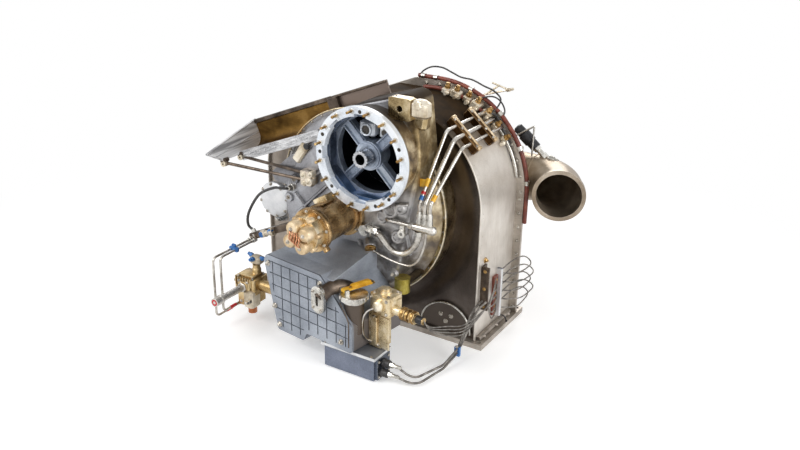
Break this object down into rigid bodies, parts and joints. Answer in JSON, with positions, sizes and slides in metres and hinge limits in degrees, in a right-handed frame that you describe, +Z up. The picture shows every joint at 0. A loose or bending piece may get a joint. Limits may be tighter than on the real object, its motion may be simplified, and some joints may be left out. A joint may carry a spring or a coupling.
{
  "type": "auxiliary power unit gas turbine",
  "caption": "Small gas turbine power unit: gearbox with generator pad and starter, ribbed oil sump, arched inlet plenum, bleed duct and exhaust on a base plate.",
  "frame": {"origin": "on the base plate's underside, under the engine axis, in the plane of the plenum's front edge", "axes": "+Z up, +Y back along the engine axis towards the exhaust, +X right seen from the gearbox end"},
  "size_m": [0.9489, 1.011, 0.716],
  "materials": {
    "wrapper_sheet": "satin sheet",
    "dark_sheet": "dark satin coat",
    "plain_steel": "worn satin",
    "gold_alloy": "conversion-coated satin",
    "cast_alloy": "as-cast satin",
    "ring_paint": "machined pale face",
    "spider_paint": "dark satin",
    "shaft_steel": "ground",
    "starter_bronze": "satin bronze",
    "pale_gold": "plated",
    "sump_paint": "cast and painted",
    "plated_steel": "plated",
    "lever_yellow": "satin paint",
    "plug_olive": "knurled",
    "box_slate": "satin paint",
    "lip_white": "satin paint",
    "lead_sheath": "braided sheath",
    "clamp_blue": "cushion clamp",
    "dark_bracket": "dark satin",
    "strip_brown": "satin",
    "control_gold": "cast and coated",
    "plug_copper": "bare copper alloy",
    "pipe_steel": "drawn tube",
    "clamp_bronze": "dark bronze",
    "valve_grey": "cast",
    "cover_white": "pale cast cover",
    "scoop_bronze": "heat-tinted sheet",
    "scoop_silver": "mottled bare sheet",
    "hot_steel": "heat-stained"
  },
  "bodies": {
    "unit": {"plenum_wrapper": "wrapper_sheet", "plenum_front_wall": "dark_sheet", "scoop_back_panel": "dark_sheet", "plenum_rear_wall": "plain_steel", "base_plate": "plain_steel", "access_cover": "plain_steel", "inlet_rim": "gold_alloy", "mount_boss": "gold_alloy", "gearbox_housing": "cast_alloy", "filler_neck": "cast_alloy", "generator_adapter": "ring_paint", "drive_spider": "spider_paint", "starter_body": "starter_bronze", "starter_cap": "pale_gold", "terminal_block": "pale_gold", "valve_block": "pale_gold", "oil_sump": "sump_paint", "sight_glass": "plated_steel", "filler_cap": "plated_steel", "igniter_end_plate": "plated_steel", "pipe_fittings": "plated_steel", "pipe_manifold": "plated_steel", "return_fitting": "plated_steel", "drain_plug": "plug_olive", "igniter_box": "box_slate", "igniter_lip": "lip_white", "igniter_leads": "lead_sheath", "valve_hose": "lead_sheath", "lead_clamp": "clamp_blue", "harness_bracket": "dark_bracket", "strut_bracket": "dark_bracket", "struts": "dark_bracket", "tube_arm": "dark_bracket", "harness_strip": "strip_brown", "harness_conduit": "strip_brown", "control_body": "control_gold", "control_neck": "control_gold", "control_stem": "control_gold", "valve_coupling": "control_gold", "control_plug": "plug_copper", "fuel_tubes": "pipe_steel", "shoulder_pipes": "pipe_steel", "return_pipe": "pipe_steel", "clamp_bars": "clamp_bronze", "air_valve": "valve_grey", "air_valve_cover": "cover_white", "intake_scoop": "scoop_bronze", "scoop_end_wall": "scoop_silver", "scoop_lip": "scoop_silver", "combustor_case": "hot_steel", "turbine_case": "hot_steel", "exhaust_duct": "hot_steel", "tail_cone": "hot_steel", "bleed_duct": "hot_steel"},
    "drive_shaft": {"drive_shaft": "shaft_steel"},
    "filler_lever": {"filler_lever": "lever_yellow"}
  },
  "joints": [
    {"name": "drive_shaft_turn", "type": "hinge", "parent": "unit", "child": "drive_shaft", "pos_m": [0.109, -0.155, 0.552], "axis": [0, -1, 0], "continuous": true},
    {"name": "filler_lever_lift", "type": "hinge", "parent": "unit", "child": "filler_lever", "pos_m": [0.12756, -0.29773, 0.2338], "axis": [0.9272, -0.3746, 0], "range_deg": [0, 95]}
  ]
}
